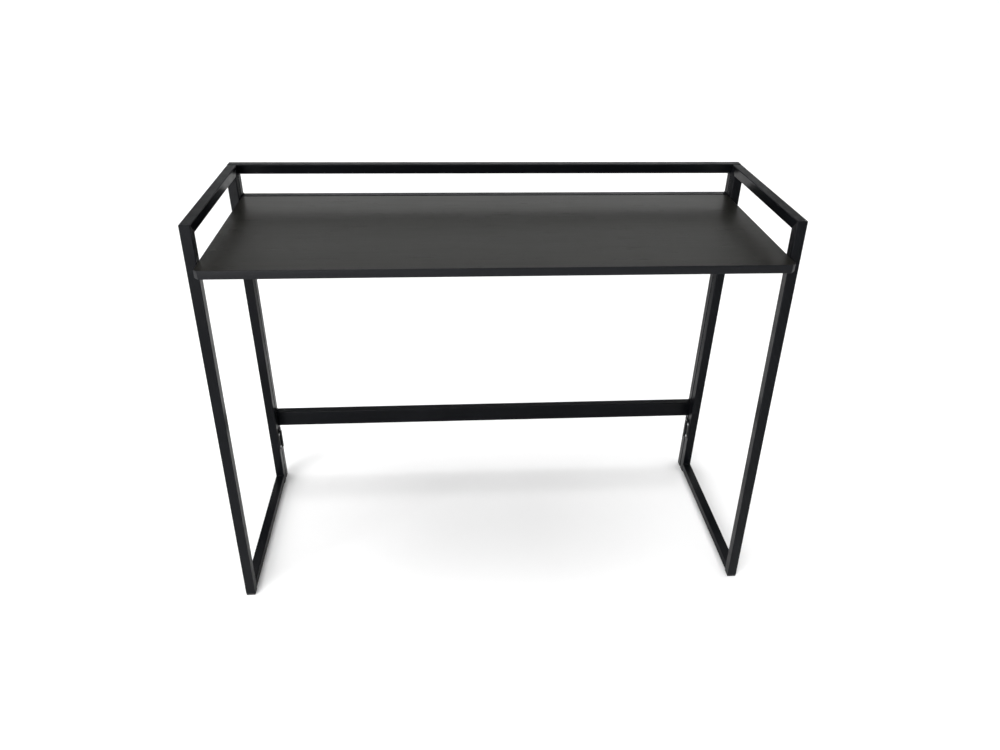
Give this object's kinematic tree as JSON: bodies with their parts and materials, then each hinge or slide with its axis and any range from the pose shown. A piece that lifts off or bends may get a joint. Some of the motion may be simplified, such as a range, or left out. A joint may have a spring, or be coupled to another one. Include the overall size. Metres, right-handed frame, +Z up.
{
  "type": "folding writing desk",
  "caption": "Slim black folding desk: hinged square-tube side frames with raised rails, a rear frame with a stretcher, and a lift-off desktop set below the rails.",
  "frame": {"origin": "on the floor, at the middle of the desk's footprint", "axes": "+X to the sitter's right, +Y to the rear, +Z up"},
  "size_m": [1.1, 0.43, 0.83],
  "materials": {
    "frame_coat": "satin black powder coat",
    "hinge_coat": "satin black paint",
    "pin_steel": "oiled turned ends",
    "rivet_steel": "bright blind rivets, set after painting",
    "peg_steel": "plain zinc-plated steel",
    "glide_plastic": "fine moulded grain",
    "board_laminate": "satin black-brown laminate with a fine grain along the width",
    "edge_band": "satin band"
  },
  "bodies": {
    "frame": {"rear_post_left": "frame_coat", "rear_post_right": "frame_coat", "rear_top_rail": "frame_coat", "rear_desk_rail": "frame_coat", "stretcher": "frame_coat", "left_front_leg": "frame_coat", "left_rear_leg": "frame_coat", "left_top_rail": "frame_coat", "left_bottom_rail": "frame_coat", "right_front_leg": "frame_coat", "right_rear_leg": "frame_coat", "right_top_rail": "frame_coat", "right_bottom_rail": "frame_coat", "left_lower_post_leaf": "hinge_coat", "left_lower_wing_leaf": "hinge_coat", "left_upper_post_leaf": "hinge_coat", "left_upper_wing_leaf": "hinge_coat", "right_lower_post_leaf": "hinge_coat", "right_lower_wing_leaf": "hinge_coat", "right_upper_post_leaf": "hinge_coat", "right_upper_wing_leaf": "hinge_coat", "left_lower_pin": "pin_steel", "left_upper_pin": "pin_steel", "right_lower_pin": "pin_steel", "right_upper_pin": "pin_steel", "post_rivets": "rivet_steel", "left_wing_rivets": "rivet_steel", "right_wing_rivets": "rivet_steel", "left_front_glide": "glide_plastic", "left_rear_glide": "glide_plastic", "left_post_glide": "glide_plastic", "right_front_glide": "glide_plastic", "right_rear_glide": "glide_plastic", "right_post_glide": "glide_plastic", "left_front_tab": "frame_coat", "right_front_tab": "frame_coat", "left_rear_tab": "frame_coat", "right_rear_tab": "frame_coat"},
    "desktop": {"desktop_board": "board_laminate", "front_edge_band": "edge_band", "rear_edge_band": "edge_band", "left_edge_band": "edge_band", "right_edge_band": "edge_band", "left_front_peg": "peg_steel", "right_front_peg": "peg_steel", "left_rear_peg": "peg_steel", "right_rear_peg": "peg_steel"}
  },
  "joints": [
    {"name": "desktop_lift", "type": "slide", "parent": "frame", "child": "desktop", "axis": [0, 0, 1], "range_m": [0, 0.12]}
  ]
}
